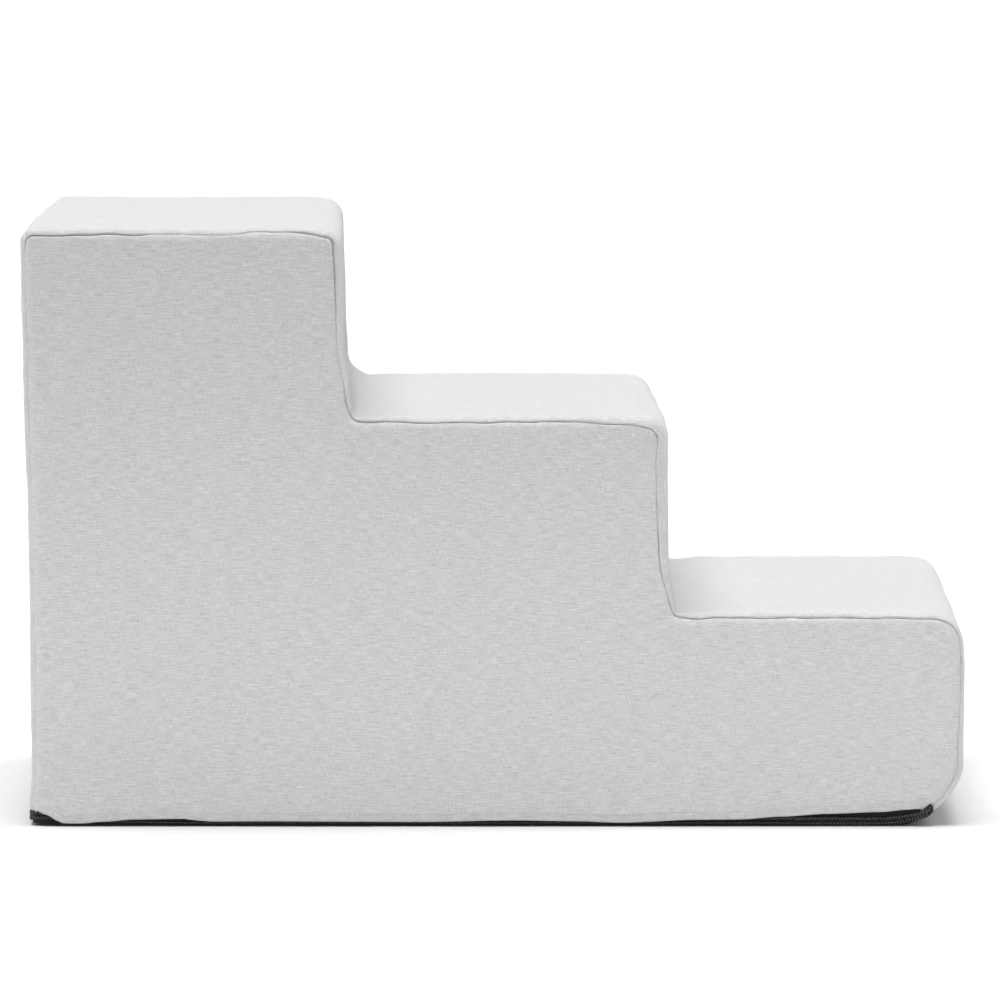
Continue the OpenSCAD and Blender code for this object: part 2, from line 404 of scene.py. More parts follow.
def square_path(s):
    """Place at distance s along the square-cornered side view, from under the low end up and over."""
    k = np.clip(np.searchsorted(at_corner, s, side="right") - 1, 0, len(corner_dir) - 1)
    return corner_xz[k] + corner_dir[k] * (s - at_corner[k])[..., None]


def riser_lean(x, z, far):
    """Sideways lean of the middle and top risers, fading out along the treads beside them."""
    if far:
        top = ease(z, (mid_z, 5.0), (mid_z + 18 * mm, -1), (mid_z + 53 * mm, -2.4), (top_z, -3.8))
    else:
        top = ease(z, (mid_z, 8.3), (mid_z + 17 * mm, 6.8), (mid_z + 45 * mm, 2.2), (mid_z + 95 * mm, 1.0))
    middle = ease(z, (low_z, 4.6), (low_z + 34 * mm, 0.9), (mid_z, -3.4 if far else 0.4))
    return mm * sum(lean * np.exp(-((x - riser_x) / (34 * mm)) ** 2)
                    for lean, riser_x in ((top, top_x), (middle, mid_x)))


def soft_path(s, rounds):
    """The square path with a superellipse quarter at each corner, leaning risers and a lifted heel."""
    path = square_path(s)
    for i, (r, power) in enumerate(rounds):
        r = r * mm
        before, after = corner_dir[i], corner_dir[i + 1]
        turn = np.clip(0.5 + 0.5 * (s - at_corner[i + 1]) / r, 0, 1) * math.pi / 2
        a, b = np.sin(turn) ** (2 / power), 1 - np.cos(turn) ** (2 / power)
        bend = corner_xz[i + 1] - r * before + r * (before * a[..., None] + after * b[..., None])
        path = np.where((np.abs(s - at_corner[i + 1]) < r)[..., None], bend, path)
    height = path[..., 1]
    lift = np.where(s > at_crest, hem_z * np.clip(1 - height / (60 * mm), 0, 1) ** 2, 0)
    path[..., 0] += riser_lean(path[..., 0], height, rounds is far_rounds)
    path[..., 1] = height + lift
    return path


def outward(s, rounds):
    """Unit normal of the soft path, from its slope over a tenth of a millimetre."""
    d = 0.1 * mm
    ahead = soft_path(s + d, rounds) - soft_path(s - d, rounds)
    length = np.maximum(np.hypot(ahead[..., 0], ahead[..., 1]), 1e-9)
    return np.stack([ahead[..., 1], -ahead[..., 0]], -1) / length[..., None]


def by_corner(s, *stops):
    """Length at distance s, eased between (corner, offset from it in mm, length in mm) stops."""
    return mm * ease(s, *((corner + offset * mm, value) for corner, offset, value in stops))


def stand_off(s):
    """How far the full cover stands out from the nominal outline along its normal."""
    return by_corner(
        s, (at_toe, -14, -0.9), (at_toe, 8, -0.3), (at_toe, 60, -1.4),
        (at_nose_low, -20, -1.4), (at_nose_low, 25, 3.9),
        (at_nook_low, -30, 3.9), (at_nook_low, -5, 2.2), (at_nook_low, 12, 0.3),
        (at_nose_mid, -20, 0.6), (at_nose_mid, 26, 3.1),
        (at_nook_mid, -34, 3.1), (at_nook_mid, -5, 2.4), (at_nook_mid, 14, 0.2),
        (at_nose_top, -10, 0.2), (at_nose_top, 22, 4.2),
        (at_crest, -90, 4.2), (at_crest, -10, 5.0), (at_crest, 10, 4.2), (at_crest, 84, 2.3),
        (at_crest, 184, 0.4), (at_crest, 284, -1.6), (at_heel, -35, -1.6), (at_heel, 0, 0.0))


def seam_inset(s, far):
    """How far the side seam lies below the soft path: it dips at the nosings and rises in the nooks."""
    low = 3.0 if far else 3.4
    return seam_waver(s, far) + by_corner(
        s, (at_toe, -toe_start / mm, 3.8), (at_toe, 22, low + 1), (at_toe, 56, low), (at_toe, 90, 2.1),
        (at_nose_low, -16, 1.8), (at_nose_low, 24, 3.7),
        (at_nook_low, -26, 3.4), (at_nook_low, -2, 1.6), (at_nook_low, 16, 2.6),
        (at_nook_low, 40, 6.2), (at_nook_low, 80, 7.9),
        (at_nose_mid, 0, 7.4), (at_nose_mid, 28, 4.8), (at_nose_mid, 60, 2.8),
        (at_nook_mid, -50, 3.4), (at_nook_mid, -16, 2.6), (at_nook_mid, -1, 1.6),
        (at_nook_mid, 14, 2.2), (at_nook_mid, 34, 2.8),
        (at_nose_top, -30, 3.0), (at_nose_top, 0, 4.4), (at_nose_top, 24, 2.2),
        (at_nose_top, 52, 1.6), (at_nose_top, 72, 3.9),
        (at_crest, -50, 3.8), (at_crest, -8, 5.0), (at_crest, 12, 3.0), (at_heel, 0, 2.6))


def seam_bite(s):
    """Depth of the seam's dip: deepest in the nooks and just under the top nosing."""
    return by_corner(
        s, (at_toe, 0, 0.9), (at_toe, 30, 0.9), (at_nose_low, -30, 1.2), (at_nose_low, 0, 1.7),
        (at_nook_low, -30, 1.7), (at_nook_low, 0, 3.0), (at_nook_low, 30, 1.5),
        (at_nose_mid, -30, 0.8), (at_nose_mid, 0, 1.5),
        (at_nook_mid, -30, 1.3), (at_nook_mid, 0, 3.0), (at_nook_mid, 30, 0.5),
        (at_nose_top, -50, 0.9), (at_nose_top, -30, 5.0), (at_nose_top, -2, 5.0),
        (at_nose_top, 14, 1.7), (at_nose_top, 36, 0.7),
        (at_crest, -85, 0.5), (at_crest, -60, 1.9), (at_crest, 0, 2.4), (at_crest, 12, 0.4),
        (at_heel, 0, 0.4))


def slanted(s, far):
    """The strip's first seam runs a little askew: its near end lies further under the low end."""
    return s if far else s - near_slant * np.clip((at_toe + 60 * mm - s) / (60 * mm + toe_start), 0, 1) ** 2


def ripple(a, b, wave, seed, count=14):
    """Sum of plane waves in the (a, b) plane with seeded directions, lengths near wave, and phases."""
    rng = np.random.default_rng(seed)
    total = np.zeros(np.broadcast(a, b).shape)
    for heading, stretch, phase in zip(rng.uniform(0, math.pi, count), rng.uniform(0.7, 1.6, count),
                                       rng.uniform(0, 2 * math.pi, count)):
        way = a * math.cos(heading) + b * math.sin(heading)
        total += np.sin(2 * math.pi * way / (wave * stretch) + phase)
    return total / math.sqrt(count / 2)


def seam_waver(s, far):
    """Small uneven wander of a hand-fed seam."""
    return 0.22 * mm * ripple(s, 0 * s, 26 * mm, 5 + int(far), 8)


def graded(breaks, fine, coarse, growth):
    """Places from the first break to the last, fine beside each break and growing to coarse between."""
    places = [breaks[0]]
    for a, b in zip(breaks[:-1], breaks[1:]):
        steps = []
        step = fine
        while 2 * sum(steps) + 2 * step < b - a:
            steps.append(step)
            step = min(step * growth, coarse)
        both = np.array(steps + steps[::-1])
        places.extend(a + np.cumsum(both * (b - a) / both.sum()))
        places[-1] = b
    return np.array(places)


seam_end_x = front_x - toe_start
x_lines, z_lines = (graded(breaks, 0.35 * mm, 4.4 * mm, 1.26)
                    for breaks in ([back_x, top_x, mid_x, seam_end_x, front_x], [0, low_z, mid_z, top_z]))
tiny = 1e-7


def rows_between(s0, s1):
    """Distances along the path at which it crosses the panel's grid lines, from s0 to s1."""
    found = [s0, s1]
    for start, heading, at, until in zip(corner_xz, corner_dir, at_corner, at_corner[1:]):
        axis = 0 if abs(heading[0]) > 0.5 else 1
        distance = ((x_lines, z_lines)[axis] - start[axis]) * heading[axis]
        found.extend(at + distance[(distance > -tiny / 100) & (distance < until - at + tiny / 100)])
    found = np.unique(np.round(np.array(found), 7))
    return found[(found >= s0 - tiny) & (found <= s1 + tiny)]


valley_width = 0.52 * mm


def seam_valley(distance, depth):
    """Dip where two turned-in edges meet, with the low ridge of the allowance beside it."""
    return (-depth * np.exp(-(distance / valley_width) ** 2)
            + 0.14 * mm * np.exp(-((distance - 3.4 * mm) / (1.7 * mm)) ** 2))


def cross_seam(s, at):
    """Dip of a seam that runs straight across the width."""
    return seam_valley(np.abs(s - at), 1.0 * mm)


allowance = np.array([0.9, 2.2, 3.8]) * mm
edge_steps = np.array([0, 0.25, 0.55, 0.9, 1.3, 1.8, 2.4, 3.1, 4, 5.1, 6.5, 8.1,
                       10, 12.3, 14.9, 17.7, 20.7, 24]) * mm
middle_share = np.linspace(0, 1, 39)[1:]


def swept_cloth(s, turned_start, turned_end, hem):
    """Points and flat cut of a length of cloth carried along the path between the two side seams.

    Across the width it is flat, then a quarter-circle edge down to the seam, which lies seam_inset below
    the path, and then the turned-in allowance. Along the path the first and last rows turn in as
    allowances where asked, and a hem folds the last row under and up again."""
    s = s[:, None]
    halves = []
    for far in (False, True):
        own, across = slanted(s, far), slanted(s, not far)
        rounds, other_rounds = (far_rounds, near_rounds) if far else (near_rounds, far_rounds)
        turn = np.arccos(1 - np.minimum(seam_inset(s, far), edge_r * 0.99) / edge_r)
        reach = side_y - edge_r + edge_r * turn
        down = np.concatenate([np.repeat(edge_steps[None], len(s), 0),
                               edge_steps[-1] + (reach - edge_steps[-1]) * middle_share], 1)
        angle = np.maximum(turn - down / edge_r, 0)
        w = (side_y - edge_r) + edge_r * np.sin(angle) - np.maximum(down - edge_r * turn, 0)
        mix = (0.5 * np.clip((side_y - w) / side_y, 0, 1) ** 1.5)[..., None]
        spine = soft_path(own, rounds) * (1 - mix) + soft_path(across, other_rounds) * mix
        facing = outward(own, rounds) * (1 - mix) + outward(across, other_rounds) * mix
        facing = facing / np.hypot(facing[..., 0], facing[..., 1])[..., None]
        lift = stand_off(s) + 0.9 * mm * np.clip(1 - (w / side_y) ** 2, 0, 1)
        drop = edge_r * (1 - np.cos(angle))
        fade = 1 - np.exp(-down / (2.5 * mm))
        side = 1 if far else -1
        gather = 0.20 * mm * np.exp(-down / (9 * mm)) * ripple(s, 0.4 * down, 17 * mm, 11 + int(far))
        swell = 0.28 * mm * ripple(s, side * w, 130 * mm, 21) + 0.05 * mm * ripple(s, side * w, 40 * mm, 22)
        out = seam_valley(down, seam_bite(s)) + fade * (gather + swell)
        for at, asked in ((s[0], turned_start), (s[-1], turned_end)):
            out = out + (cross_seam(s, at) if asked else 0)
        plane = spine + facing * (lift - drop + out * np.cos(angle))[..., None]
        w = w + out * np.sin(angle)
        steps = allowance[::-1]
        plane = np.concatenate([plane[:, :1] - facing[:, :1] * (steps * np.cos(turn))[..., None], plane], 1)
        w = np.concatenate([w[:, :1] - steps * np.sin(turn), w], 1)
        cut = np.concatenate([reach + steps, reach - down], 1)
        facing = np.concatenate([np.repeat(facing[:, :1], len(steps), 1), facing], 1)
        halves.append(np.stack([plane[..., 0], side * w, plane[..., 1], s + 0 * w, side * cut,
                                -facing[..., 0], 0 * w, -facing[..., 1]], -1))
    rows = np.concatenate([halves[0][:, :-1], halves[1][:, ::-1]], 1)
    sheet, inwards = rows[..., :5], rows[..., 5:]

    def turned_in(row, length_sign):
        """The allowance beyond the first or last row: against its outward normal, on along the cut."""
        fall = np.concatenate([inwards[row], inwards[row, :, 1:2] + length_sign, inwards[row, :, 1:2]], -1)
        return sheet[row] + fall * allowance[::length_sign, None, None]

    parts = [turned_in(0, -1)] * turned_start + [sheet] + [turned_in(-1, 1)] * turned_end
    if hem:
        inward, rise = fold_under()
        none = 0 * inward
        fold = np.stack([inward, none, rise, np.linspace(1, 12, len(inward)) * mm, none], -1)
        parts.append(sheet[-1] + fold[:, None])
    sheet = np.concatenate(parts)
    return sheet[..., :3], sheet[..., 3:]


fold_r = 1.1 * mm
hem_height = 9.5 * mm


def fold_under():
    """How a hem runs on from the edge of the outer face: half a circle under, then up behind."""
    turn = np.linspace(0, math.pi, 8)[1:]
    up = np.linspace(0, hem_height, 6)[1:]
    inward = np.concatenate([fold_r * (1 - np.cos(turn)), np.full(5, 2 * fold_r)])
    rise = np.concatenate([-fold_r * np.sin(turn), up])
    return inward, rise


def cloth(name, points, faces, uv, thickness, material):
    """Cloth piece: the given surface is its outer face and its thickness goes inwards."""
    piece = put_mesh(name, points.reshape(-1, 3), faces, uv=uv.reshape(-1, 2))
    wall = piece.modifiers.new("thickness", "SOLIDIFY")
    wall.thickness = thickness
    wall.offset = -1
    return fit(piece, material)


cloth_t = 0.9 * cover_t
strip_rows = rows_between(at_toe - toe_start, at_crest)
strip_points, strip_cut = swept_cloth(strip_rows, True, True, False)
step_strip = cloth("step_strip_cloth", strip_points, grid_faces(*strip_points.shape[:2]), strip_cut, cloth_t,
                   cover_material)
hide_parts("step_strip")


# ---- Back panel -------------------------------------------------------------------------------------
# A plain upright panel of the same fabric. It wraps a little onto both sides, and its doubled hem hangs
# over the zip.
back_rows = rows_between(at_crest, at_heel)
back_points, back_cut = swept_cloth(back_rows, True, False, True)
back_cloth = cloth("back_panel_cloth", back_points, grid_faces(*back_points.shape[:2]), back_cut, cloth_t,
                   cover_material)
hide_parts("back_panel")


# ---- Side panels ------------------------------------------------------------------------------------
# Stepped panels cut from the same fabric, stretched over the foam by the seams all round. The near hem
# hangs in front of the zip and rises at both ends; the far one stays clear of the slider's run.
def near_lip(x):
    """Height of the near hem's lower edge, from the heel to the low end."""
    return ease(x / mm, (-304, 11.2), (-300, 10.2), (-293.6, 7.6), (-287, 4.0), (-282, 1.9), (-270, 1.9),
                (-257, 3.1), (-236, 4.5), (-205, 5.0), (-195, 3.9), (-186, 3.2), (-144, 3.4), (-50, 3.0),
                (10, 4.0), (50, 3.4), (80, 2.5), (130, 4.4), (157, 4.6), (185, 6.5), (215, 8.3), (250, 9.5),
                (266, 10.9), (273, 11.4), (279, 11.3), (284, 11.0)) * mm


def far_lip(x):
    """Height of the far hem's lower edge: level with the CAD hem, over the slider's whole run."""
    return ease(x / mm, (-305, 11.2), (289, 11.2), (292, 10.4)) * mm


def seam_line(s, far):
    """Side-view place of the seam, its normal and its inset, at distance s along the path."""
    rounds = far_rounds if far else near_rounds
    normal = outward(slanted(s, far), rounds)
    inset = np.minimum(seam_inset(s, far), edge_r * 0.99)
    return soft_path(slanted(s, far), rounds) + normal * (stand_off(s) - inset)[..., None], normal, inset


def drag_folds(x, z, corner_x, corner_z, seed, reach):
    """Shallow folds that fan out from an inner corner and die away with distance from it."""
    dx, dz = x - corner_x, z - corner_z
    far_off = np.hypot(dx, dz)
    bearing = np.arctan2(dz, dx)
    rng = np.random.default_rng(seed)
    fan = sum(np.sin(k * bearing + p) for k, p in zip((9, 14, 21), rng.uniform(0, 6.28, 3))) / 1.7
    return fan * np.exp(-far_off / reach) * (1 - np.exp(-(far_off / (9 * mm)) ** 2))


def tread_height(x):
    """Height of the stepped outline over x, where a riser belongs to the tread above it."""
    return np.where(x <= top_x + tiny, top_z, np.where(x <= mid_x + tiny, mid_z, low_z))


hem_pulled_from, hem_pulled_back = 200 * mm, -240 * mm


def side_cloth(name, node, far, lip, lip_out):
    """Stepped grid, drawn to the seam line by inverse-distance weights, then shaped across the width.

    Each point's depth below the cover's edge line gives its place on the quarter-circle edge; beyond that
    the panel is flat with a slight bulge, puckers beside the seam and folds from the inner corners."""
    x, z = np.meshgrid(x_lines, z_lines, indexing="ij")
    inside = z <= tread_height(x) + tiny
    number = np.full(x.shape, -1)
    number[inside] = np.arange(inside.sum())
    solid = z[:-1, 1:] <= tread_height(x[:-1, :-1] + 2 * tiny) + tiny
    quads = np.stack([number[:-1, :-1], number[1:, :-1], number[1:, 1:], number[:-1, 1:]], -1)[solid]
    flat = np.stack([x[inside], z[inside]], 1)

    s = rows_between(at_toe - toe_start, at_heel)
    corner = square_path(s)
    seam_ids = number[np.abs(x_lines[:, None] - corner[:, 0]).argmin(0),
                      np.abs(z_lines[:, None] - corner[:, 1]).argmin(0)]
    target, normal, inset = seam_line(s, far)
    in_hem = x_lines[1:] < seam_end_x - tiny
    hem_ids, hem_x = number[1:, 0][in_hem], x_lines[1:][in_hem]
    to_low_end = np.clip((hem_x - hem_pulled_from) / (seam_end_x - hem_pulled_from), 0, 1) ** 2
    to_back = np.clip((hem_pulled_back - hem_x) / (hem_pulled_back - back_x), 0, 1) ** 2
    pulled = hem_x + (target[0, 0] - seam_end_x) * to_low_end + (target[-1, 0] - back_x) * to_back
    hem_target = np.stack([pulled, lip(pulled) + fold_r], 1)
    held = np.concatenate([seam_ids, hem_ids])
    move = np.concatenate([target, hem_target]) - flat[held]
    gap = ((flat[:, None] - flat[held][None]) ** 2).sum(-1)
    weight = 1 / (gap + (0.02 * mm) ** 2) ** 2
    weight /= weight.sum(1, keepdims=True)
    placed = flat + weight @ move
    at_seam = weight[:, :len(s)] / np.maximum(weight[:, :len(s)].sum(1, keepdims=True), 1e-12)
    facing = at_seam @ normal
    facing /= np.maximum(np.hypot(*facing.T), 1e-9)[:, None]
    fine, _, _ = seam_line(np.linspace(s[0], s[-1], 2400), far)
    away = np.sqrt(np.min([((placed[:, None] - part[None]) ** 2).sum(-1).min(1)
                           for part in np.array_split(fine, 12)], 0))
    away[seam_ids] = 0
    cosine = np.clip(1 - (at_seam @ inset + away) / edge_r, 0, 1)
    sine = np.sqrt(1 - cosine ** 2)
    px, pz = placed.T
    fade = 1 - np.exp(-away / (2.5 * mm))
    pucker = 0.20 * mm * np.exp(-away / (9 * mm)) * ripple(px, pz, 15 * mm, 31 + far)
    swell = (0.8 * mm * (1 - np.exp(-away / (45 * mm))) + 0.26 * mm * ripple(px, pz, 120 * mm, 41 + far)
             + 0.05 * mm * ripple(px, pz, 42 * mm, 43 + far))
    folds = 0.40 * mm * (drag_folds(px, pz, mid_x, low_z, 3 + far, 46 * mm)
                         + drag_folds(px, pz, top_x, mid_z, 7 + far, 46 * mm))
    skirt = lip_out * np.exp(-((pz - lip(px)) / (13 * mm)) ** 2) * (1 - np.exp(-away / (7 * mm)))
    out = seam_valley(away, at_seam @ seam_bite(s)) + fade * (pucker + swell + folds) + skirt
    w = side_y - edge_r + edge_r * sine + out * sine
    plane = placed + facing * (out * cosine)[:, None]
    side = 1 if far else -1
    cut_place = (0.7, 0.4)
    sheet = np.column_stack([plane[:, 0], side * w, plane[:, 1], flat + cut_place])

    turn_in = np.column_stack([-facing[:, 0] * cosine, -side * sine, -facing[:, 1] * cosine])[seam_ids]
    rings = sheet[seam_ids] + np.hstack([turn_in, normal]) * allowance[:, None, None]
    inward, rise = fold_under()
    none = 0 * inward
    fold = np.stack([none, -side * inward, rise, none, -np.linspace(1, 12, len(inward)) * mm], 1)
    hem_row = np.concatenate([seam_ids[-1:], hem_ids, seam_ids[:1]])
    hem = sheet[hem_row] + fold[:, None]
    faces, count = [quads], len(sheet)
    for edge, added in ((seam_ids, rings), (hem_row, hem)):
        lines = np.concatenate([edge[None], count + np.arange(added[..., 0].size).reshape(len(added), -1)])
        faces.append(patch(lines)[:, [1, 0, 3, 2]])
        count += added[..., 0].size
    faces = np.concatenate(faces)
    if far:
        faces = faces[:, ::-1]
    sheet = np.concatenate([sheet, rings.reshape(-1, 5), hem.reshape(-1, 5)])
    panel = cloth(name, sheet[:, :3], faces, sheet[:, 3:], cloth_t, cover_material)
    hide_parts(node)
    return panel


near_panel = side_cloth("near_side_cloth", "near_side_panel", 0, near_lip, 1.7 * mm)
far_panel = side_cloth("far_side_cloth", "far_side_panel", 1, far_lip, 0.5 * mm)


# ---- Base panel -------------------------------------------------------------------------------------
# Black plain-weave polyester with raised rubber grip dots, sewn to the strip under the low end and to
# the zip's lower tape on its other three sides.
black_material, tree = new_material("black_base_weave", 0.85, Specular_IOR_Level=0.3)
yarns = weave_in(tree, 0.0007, 0.3)
finish_material(tree, ramp(tree, yarns["Tone"], (0.3, (0.012, 0.012, 0.013)), (0.7, (0.036, 0.036, 0.040))),
                yarns["Relief"], 0.0002, 0.8)

base_edge = side_y - 2.8 * mm
base_back = back_x + 3.4 * mm
dot_h = 0.45 * mm
lift_reach = 30 * mm
slant_from = 225 * mm
curl_r = 1.5 * mm
curl = np.linspace(math.pi / 2, 0, 6)
bottom_s = np.concatenate([base_back + curl_r * (1 - np.sin(curl))[:-1],
                           graded([base_back + curl_r, slant_from, seam_end_x], 1.5 * mm, 9 * mm, 1.3)])
base_curl = np.concatenate([curl[:-1], np.zeros(len(bottom_s) - 5)])
flat_w = base_edge - curl_r
curled_w = flat_w + curl_r * np.sin(curl)
base_w = np.concatenate([-curled_w, np.linspace(-flat_w, flat_w, 60)[1:-1], curled_w[::-1]])
side_curl = np.concatenate([curl, np.zeros(58), curl[::-1]])


def base_surface(s, w):
    """Underside of the base panel: flat, rounded up at the low end with the strip's own toe."""
    mix = ease(w, (-side_y, 0), (side_y, 1))[..., None]
    askew = s - near_slant * np.clip((s - slant_from) / (seam_end_x - slant_from), 0, 1) ** 2
    x, z = np.moveaxis(soft_path(askew, near_rounds) * (1 - mix) + soft_path(s, far_rounds) * mix, -1, 0)
    from_near = w + side_y
    back_lift = 1.4 * mm * np.exp(-((x - back_x) / (12 * mm)) ** 2 - (from_near / lift_reach) ** 2)
    toe_lift = 1.6 * mm * np.exp(-((x - 286 * mm) / (14 * mm)) ** 2 - (from_near / (18 * mm)) ** 2)
    return x, z + dot_h + back_lift + toe_lift


s_grid, w_grid = np.meshgrid(bottom_s, base_w, indexing="ij")
bx, bz = base_surface(s_grid, w_grid)
rise = curl_r * np.maximum((1 - np.cos(base_curl))[:, None], (1 - np.cos(side_curl))[None, :])
base_points = np.stack([bx, w_grid, bz + rise], -1)
base_cloth = cloth("base_panel_cloth", base_points, grid_faces(*base_points.shape[:2]),
                   np.stack([s_grid, w_grid], -1), 0.9 * mm, black_material)
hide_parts("base_panel")

dot_material, tree = new_material("rubber_grip_dots", 0.6, Specular_IOR_Level=0.4)
scuff = speckle(tree, 400.0, 4.0)
finish_material(tree, ramp(tree, scuff, (0.3, (0.010, 0.010, 0.011)), (0.7, (0.030, 0.030, 0.032))),
                scuff, 0.0001)
dot_pitch, dot_r = 8 * mm, 1.5 * mm
dotted_length, dotted_width = 580 * mm, 385 * mm
col, row = np.meshgrid(np.arange(int(dotted_length / dot_pitch)), np.arange(int(dotted_width / dot_pitch)),
                       indexing="ij")
dot_x = (back_x + 12 * mm + dot_pitch * (col + 0.5 * (row % 2))).ravel()
dot_y = (-side_y + 9 * mm + dot_pitch * row).ravel()
kept = (dot_x < 262 * mm) & (np.abs(dot_y) < base_edge - 4 * mm)
dot_x, dot_y = dot_x[kept], dot_y[kept]
_, dot_z = base_surface(dot_x, dot_y)
ring_turn = np.linspace(0, 2 * math.pi, 9)[:-1]
ring_r = np.array([1.0, 0.86, 0.5])[:, None] * dot_r
ring_z = np.array([0.05 * mm, -0.30 * mm, -dot_h])[:, None]
dot_rings = np.stack([ring_r * np.cos(ring_turn), ring_r * np.sin(ring_turn), ring_z + 0 * ring_turn], -1)
dot_points = np.stack([dot_x, dot_y, dot_z], 1)[:, None] + dot_rings.reshape(-1, 3)
shift = (np.arange(len(dot_x)) * 24)[:, None, None]
dots = put_mesh("base_grip_dots", dot_points.reshape(-1, 3),
                [(tube_faces(3, 8)[:, other_way] + shift).reshape(-1, 4),
                 (np.arange(16, 24)[::-1] + shift).reshape(-1, 8)])
fit(dots, dot_material)


# ---- Zip tapes --------------------------------------------------------------------------------------
# Two black woven tapes that run along the near side, round the back and along the far side. The upper
# one is sewn behind the hem and the lower one to the base panel.
bend_r = 10 * mm
chain_z = (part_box("zip_upper_coil")[1].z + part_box("zip_lower_coil")[0].z) / 2
far_end_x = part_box("zip_upper_coil")[1].x
near_end_x = 282 * mm
tape_t = 0.6 * mm
tape_show = 14 * mm
bend_len = bend_r * math.pi / 2
straight_back = 2 * (side_y - bend_r)
at_bend_1 = near_end_x - (back_x + bend_r)
at_back = at_bend_1 + bend_len
at_bend_2 = at_back + straight_back
at_far = at_bend_2 + bend_len
zip_length = at_far + far_end_x - (back_x + bend_r)


def zip_run(d):
    """Plan place of the chain's outer face at distance d from the near low end, with its outward normal."""
    turn_1 = np.clip((d - at_bend_1) / bend_r, 0, math.pi / 2)
    turn_2 = np.clip((d - at_bend_2) / bend_r, 0, math.pi / 2)
    x = (near_end_x - np.clip(d, None, at_bend_1) - bend_r * np.sin(turn_1) + bend_r * (1 - np.cos(turn_2))
         + np.clip(d - at_far, 0, None))
    y = (-side_y + bend_r * (1 - np.cos(turn_1)) + np.clip(d - at_back, 0, straight_back)
         + bend_r * np.sin(turn_2))
    heading = turn_1 + turn_2
    return x, y, -np.sin(heading), -np.cos(heading)


def chain_height(d):
    """Height of the chain's middle: it lies low along the near side and curls up at that side's end."""
    x = zip_run(d)[0] / mm
    near = ease(x, (-305, 6.3), (-302, 7.3), (-296, 6.9), (-255, 4.2), (-190, 3.5), (252, 3.45), (259, 4.1),
                (272, 6.1), (279, 8.8), (283, 11.3)) * mm
    return np.where(d < at_bend_1 + bend_len, near, chain_z)


def chain_out(d):
    """How far the chain stands out: tucked behind the low hem, and proud of it where the hem rises."""
    x = zip_run(d)[0] / mm
    near = ease(x, (-296, 0), (-280, -1.0), (165, -1.0), (205, 0.5), (262, 0.6), (274, 2.2), (283, 2.6)) * mm
    return np.where(d < at_bend_1, near, 0)


def on_zip(d, inward, height):
    """Point at a depth behind the chain's outer face and a height above its middle."""
    x, y, nx, ny = zip_run(d)
    inward = inward - chain_out(d)
    return np.stack([x - nx * inward, y - ny * inward, chain_height(d) + height], -1)


def closed_tube(name, points, uv=None):
    """Mesh of rings of points carried along a run; the first and last ring close its ends."""
    rows, cols = points.shape[:2]
    ring = np.arange(cols)[None]
    return put_mesh(name, points.reshape(-1, 3),
                    [tube_faces(rows, cols), ring[:, ::-1], (rows - 1) * cols + ring], uv=uv)


def ribbon(name, low, high, node):
    """Flat tape with rounded edges: a closed cross-section between two heights, carried along the zip."""
    d = np.concatenate([np.linspace(start, end, count)[skipped:] for start, end, count, skipped in (
        (-0.6 * mm, at_bend_1, 240, 0), (at_bend_1, at_back, 14, 1), (at_back, at_bend_2, 90, 1),
        (at_bend_2, at_far, 14, 1), (at_far, zip_length + 2.5 * mm, 240, 1))])[:, None]
    share = np.array([[0, 0.03, 0.12, 0.35, 0.65, 0.88, 0.97, 1, 0.97, 0.88, 0.65, 0.35, 0.12, 0.03]])
    depth = np.array([[0.5, 0.1, 0, 0, 0, 0, 0.1, 0.5, 0.9, 1, 1, 1, 1, 0.9]]) * tape_t
    bottom, top = low(d), high(d)
    points = on_zip(d + 0 * share, 2.2 * mm + depth, bottom + (top - bottom) * share)
    cut = np.stack(np.broadcast_arrays(share * tape_show + depth * 0.2, d), -1)
    tape = fit(closed_tube(name, points, cut.reshape(-1, 2)), tape_material)
    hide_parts(node)
    return tape


def lower_tape_foot(d):
    """The lower tape turns under to the base panel, which is lifted a little at the near back corner."""
    x, y, _, _ = zip_run(d)
    along_back = 0.3 * mm + 1.3 * mm * np.exp(-((y + side_y) / lift_reach) ** 2)
    floor_gap = ease(x / mm, (-304, 1.6), (-297, 1.2), (-290, 0.8), (-262, 0.4), (252, 0.3), (272, 2.9),
                     (279, 5.6), (283, 8.1)) * mm
    return np.where(d < at_back, floor_gap, along_back) - chain_height(d)


tape_material, tree = new_material("zip_tape_weave", 0.8, Specular_IOR_Level=0.3, Sheen_Weight=0.1)
yarns = weave_in(tree, 0.0005, 0.2)
finish_material(tree, ramp(tree, yarns["Tone"], (0.3, (0.004, 0.004, 0.005)), (0.7, (0.014, 0.014, 0.015))),
                yarns["Relief"], 0.00015, 0.8)


def tape_gap(d):
    """Height of each tape's inner edge from the chain's middle: closed, but clear of the slider's post."""
    return ease(d, (at_bend_2 - 20 * mm, 0.12), (at_far, 0.5)) * mm


def upper_tape_top(d):
    """Height of the upper tape's hidden edge, cut away to a point at the near end."""
    return 14.6 * mm - 9.6 * mm * np.exp(-(np.maximum(d, 0) / (5 * mm)) ** 2)


upper_tape = ribbon("zip_upper_tape_cloth", tape_gap, upper_tape_top, "zip_upper_tape")
ribbon("zip_lower_tape_cloth", lower_tape_foot, lambda d: -tape_gap(d), "zip_lower_tape")


# ---- Zip coils --------------------------------------------------------------------------------------
# Two rows of black nylon monofilament, each a flattened coil sewn along a tape's edge. Their heads mesh
# along the middle, and along the far side they stand just clear of the slider's post.
coil_pitch = 1.95 * mm
wire_r = 0.40 * mm
coil_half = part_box("zip_upper_coil")[1].z - chain_z


